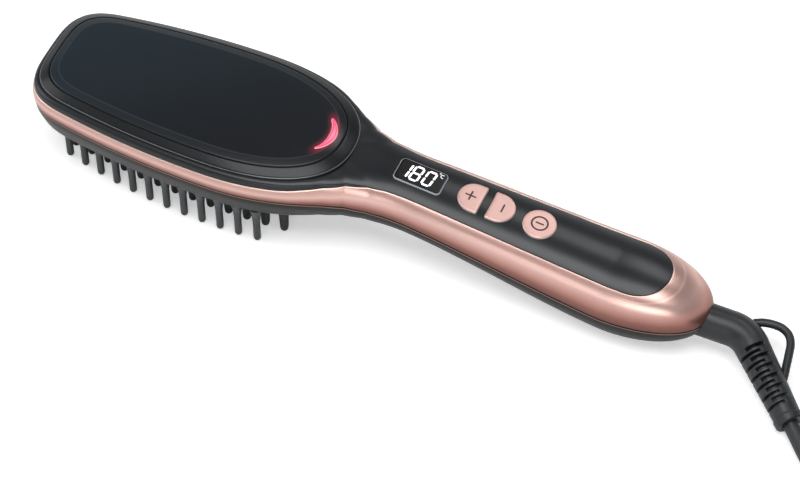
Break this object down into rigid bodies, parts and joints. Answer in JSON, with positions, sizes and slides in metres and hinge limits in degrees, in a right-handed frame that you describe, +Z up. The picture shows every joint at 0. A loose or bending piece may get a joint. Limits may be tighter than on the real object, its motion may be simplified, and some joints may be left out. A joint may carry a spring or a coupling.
{
  "type": "heated hair straightening brush",
  "caption": "Hair straightening brush with a heated pin bed, back panel with a crescent indicator, display and keys on the handle, and a swivelling mains cord.",
  "frame": {"origin": "on the ground under the middle of the brush's length, in its plane of symmetry, with the pin tips and the underside of the handle's end on the ground", "axes": "+X along the brush from the tip of the head to the cord, +Z up from the pins to the back panel, +Y towards the side across from the cord's bend"},
  "size_m": [0.4675, 0.1035, 0.0474],
  "materials": {
    "gloss_black": "gloss black moulding",
    "panel_black": "deep black panel with a blue tint",
    "indicator": "translucent red-pink lens",
    "rose_gold": "satin rose-gold coating",
    "pin_grey": "dark grey heat-resistant nylon",
    "coated_aluminium": "black ceramic coating on aluminium",
    "steel": "zinc-plated steel",
    "ceramic": "ceramic heater in polyimide film",
    "mica": "mica sheet",
    "sensor": "epoxy bead",
    "fuse": "thermal fuse can",
    "board_green": "circuit board",
    "window": "tinted display window",
    "module_grey": "component housings",
    "plunger": "switch plunger",
    "bearing": "acetal",
    "brass": "brass and bronze contacts",
    "lead_red": "silicone insulation",
    "cord_rubber": "soft black sheath",
    "pin_metal": "nickel-plated pins"
  },
  "bodies": {
    "brush": {"top_cover": "gloss_black", "head_panel": "panel_black", "indicator_lens": "indicator", "indicator_board": "board_green", "trim_band": "rose_gold", "lower_shell": "gloss_black", "pin_frame": "pin_grey", "heater_plate": "coated_aluminium", "heated_pins": "coated_aluminium", "spacer_pins": "pin_grey", "frame_screws": "steel", "ptc_heaters": "ceramic", "mica_sheet": "mica", "heater_clamp": "steel", "clamp_screws": "steel", "thermal_fuse": "fuse", "temperature_sensor": "sensor", "heat_shield": "mica", "display_window": "window", "display_module": "module_grey", "switch_housings": "module_grey", "control_board": "board_green", "board_screws": "steel", "power_board": "board_green", "power_parts": "module_grey", "housing_screws": "steel", "swivel_bearing": "bearing", "slip_contacts": "brass", "heater_leads": "lead_red"},
    "plus_key": {"plus_button": "rose_gold", "plus_plunger": "plunger"},
    "minus_key": {"minus_button": "rose_gold", "minus_plunger": "plunger"},
    "power_key": {"power_button": "rose_gold", "power_plunger": "plunger"},
    "cord_set": {"swivel_hub": "bearing", "slip_rings": "brass", "strain_relief": "cord_rubber", "hanging_loop": "cord_rubber", "mains_cord": "cord_rubber", "cord_coil": "cord_rubber", "cord_tail": "cord_rubber", "plug_body": "cord_rubber", "plug_pins": "pin_metal"}
  },
  "joints": [
    {"name": "plus_press", "type": "slide", "parent": "brush", "child": "plus_key", "axis": [-0.0902, 0, -0.9959], "range_m": [0, 0.0006], "stiffness_N_per_m": 1500, "springref_m": -0.0006},
    {"name": "minus_press", "type": "slide", "parent": "brush", "child": "minus_key", "axis": [-0.0902, 0, -0.9959], "range_m": [0, 0.0006], "stiffness_N_per_m": 1500, "springref_m": -0.0006},
    {"name": "power_press", "type": "slide", "parent": "brush", "child": "power_key", "axis": [-0.0902, 0, -0.9959], "range_m": [0, 0.0006], "stiffness_N_per_m": 1500, "springref_m": -0.0006},
    {"name": "cord_swivel", "type": "hinge", "parent": "brush", "child": "cord_set", "pos_m": [0.127, 0, 0.013], "axis": [1, 0, 0], "continuous": true}
  ]
}
